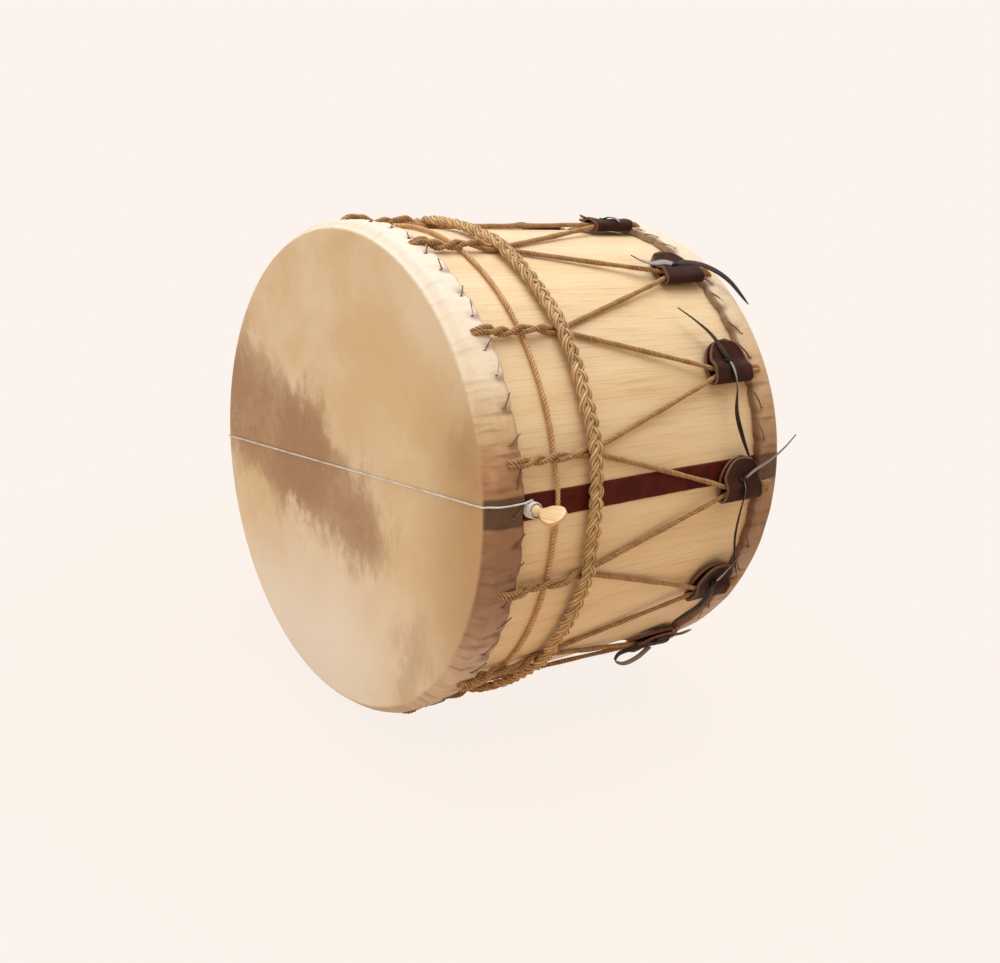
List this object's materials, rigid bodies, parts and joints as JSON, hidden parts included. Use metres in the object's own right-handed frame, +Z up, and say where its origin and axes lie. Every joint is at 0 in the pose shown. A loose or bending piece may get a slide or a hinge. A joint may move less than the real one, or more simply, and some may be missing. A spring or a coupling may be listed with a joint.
{
  "type": "renaissance drum",
  "caption": "Rope-tensioned field drum lying on its side, with two skin heads, leather tugs that slide to tighten the rope, a gut snare and its turning peg.",
  "frame": {"origin": "centre of the rear head's outer face, on the drum's axis", "axes": "+Y along the drum's axis out of the rear head, +Z up as the drum lies on its plaited ring and its two lowest tugs, +X to the side of the seam strap and the snare peg, which point 11 degrees above it"},
  "size_m": [0.4673, 0.3295, 0.4312],
  "materials": {
    "shell_wood": "pale ash, oiled, satin",
    "hoop_wood": "bent ash, unfinished",
    "head_skin": "calf skin, satin, mottled",
    "jute_rope": "twisted jute, matt",
    "belt_cord": "twisted hemp cord, matt",
    "strap_leather": "burgundy grained leather, satin",
    "tug_leather": "dark brown leather, satin, worn edges",
    "thong_leather": "raw-edged leather thong, matt",
    "gut": "twisted gut, semi gloss",
    "peg_wood": "boxwood, polished"
  },
  "bodies": {
    "drum": {"shell": "shell_wood", "front_inner_hoop": "hoop_wood", "rear_inner_hoop": "hoop_wood", "front_flesh_hoop": "hoop_wood", "rear_flesh_hoop": "hoop_wood", "front_head": "head_skin", "rear_head": "head_skin", "tension_rope": "jute_rope", "belt_cord": "belt_cord", "plaited_ring": "jute_rope", "seam_strap": "strap_leather", "snare_string": "gut", "snare_knot": "gut"},
    "tug_01": {"tug_01": "tug_leather", "tug_lace_01": "thong_leather"},
    "tug_02": {"tug_02": "tug_leather", "tug_lace_02": "thong_leather"},
    "tug_03": {"tug_03": "tug_leather", "tug_lace_03": "thong_leather"},
    "tug_04": {"tug_04": "tug_leather", "tug_lace_04": "thong_leather"},
    "tug_05": {"tug_05": "tug_leather", "tug_lace_05": "thong_leather"},
    "tug_06": {"tug_06": "tug_leather", "tug_lace_06": "thong_leather"},
    "tug_07": {"tug_07": "tug_leather", "tug_lace_07": "thong_leather"},
    "tug_08": {"tug_08": "tug_leather", "tug_lace_08": "thong_leather"},
    "tug_09": {"tug_09": "tug_leather", "tug_lace_09": "thong_leather"},
    "tug_10": {"tug_10": "tug_leather", "tug_lace_10": "thong_leather"},
    "tug_11": {"tug_11": "tug_leather", "tug_lace_11": "thong_leather"},
    "tug_12": {"tug_12": "tug_leather", "tug_lace_12": "thong_leather"},
    "tug_13": {"tug_13": "tug_leather", "tug_lace_13": "thong_leather"},
    "peg": {"snare_peg": "peg_wood", "snare_winding": "gut"}
  },
  "joints": [
    {"name": "tug_01_slide", "type": "slide", "parent": "drum", "child": "tug_01", "axis": [0, -1, 0], "range_m": [0, 0.05], "deforming": ["tension_rope"]},
    {"name": "tug_02_slide", "type": "slide", "parent": "drum", "child": "tug_02", "axis": [0, -1, 0], "range_m": [0, 0.05], "deforming": ["tension_rope"]},
    {"name": "tug_03_slide", "type": "slide", "parent": "drum", "child": "tug_03", "axis": [0, -1, 0], "range_m": [0, 0.05], "deforming": ["tension_rope"]},
    {"name": "tug_04_slide", "type": "slide", "parent": "drum", "child": "tug_04", "axis": [0, -1, 0], "range_m": [0, 0.05], "deforming": ["tension_rope"]},
    {"name": "tug_05_slide", "type": "slide", "parent": "drum", "child": "tug_05", "axis": [0, -1, 0], "range_m": [0, 0.05], "deforming": ["tension_rope"]},
    {"name": "tug_06_slide", "type": "slide", "parent": "drum", "child": "tug_06", "axis": [0, -1, 0], "range_m": [0, 0.05], "deforming": ["tension_rope"]},
    {"name": "tug_07_slide", "type": "slide", "parent": "drum", "child": "tug_07", "axis": [0, -1, 0], "range_m": [0, 0.05], "deforming": ["tension_rope"]},
    {"name": "tug_08_slide", "type": "slide", "parent": "drum", "child": "tug_08", "axis": [0, -1, 0], "range_m": [0, 0.05], "deforming": ["tension_rope"]},
    {"name": "tug_09_slide", "type": "slide", "parent": "drum", "child": "tug_09", "axis": [0, -1, 0], "range_m": [0, 0.05], "deforming": ["tension_rope"]},
    {"name": "tug_10_slide", "type": "slide", "parent": "drum", "child": "tug_10", "axis": [0, -1, 0], "range_m": [0, 0.05], "deforming": ["tension_rope"]},
    {"name": "tug_11_slide", "type": "slide", "parent": "drum", "child": "tug_11", "axis": [0, -1, 0], "range_m": [0, 0.05], "deforming": ["tension_rope"]},
    {"name": "tug_12_slide", "type": "slide", "parent": "drum", "child": "tug_12", "axis": [0, -1, 0], "range_m": [0, 0.05], "deforming": ["tension_rope"]},
    {"name": "tug_13_slide", "type": "slide", "parent": "drum", "child": "tug_13", "axis": [0, -1, 0], "range_m": [0, 0.05], "deforming": ["tension_rope"]},
    {"name": "peg_turn", "type": "hinge", "parent": "drum", "child": "peg", "pos_m": [0.19629, -0.289, 0.03835], "axis": [0.9814, 0, 0.1917], "continuous": true}
  ]
}
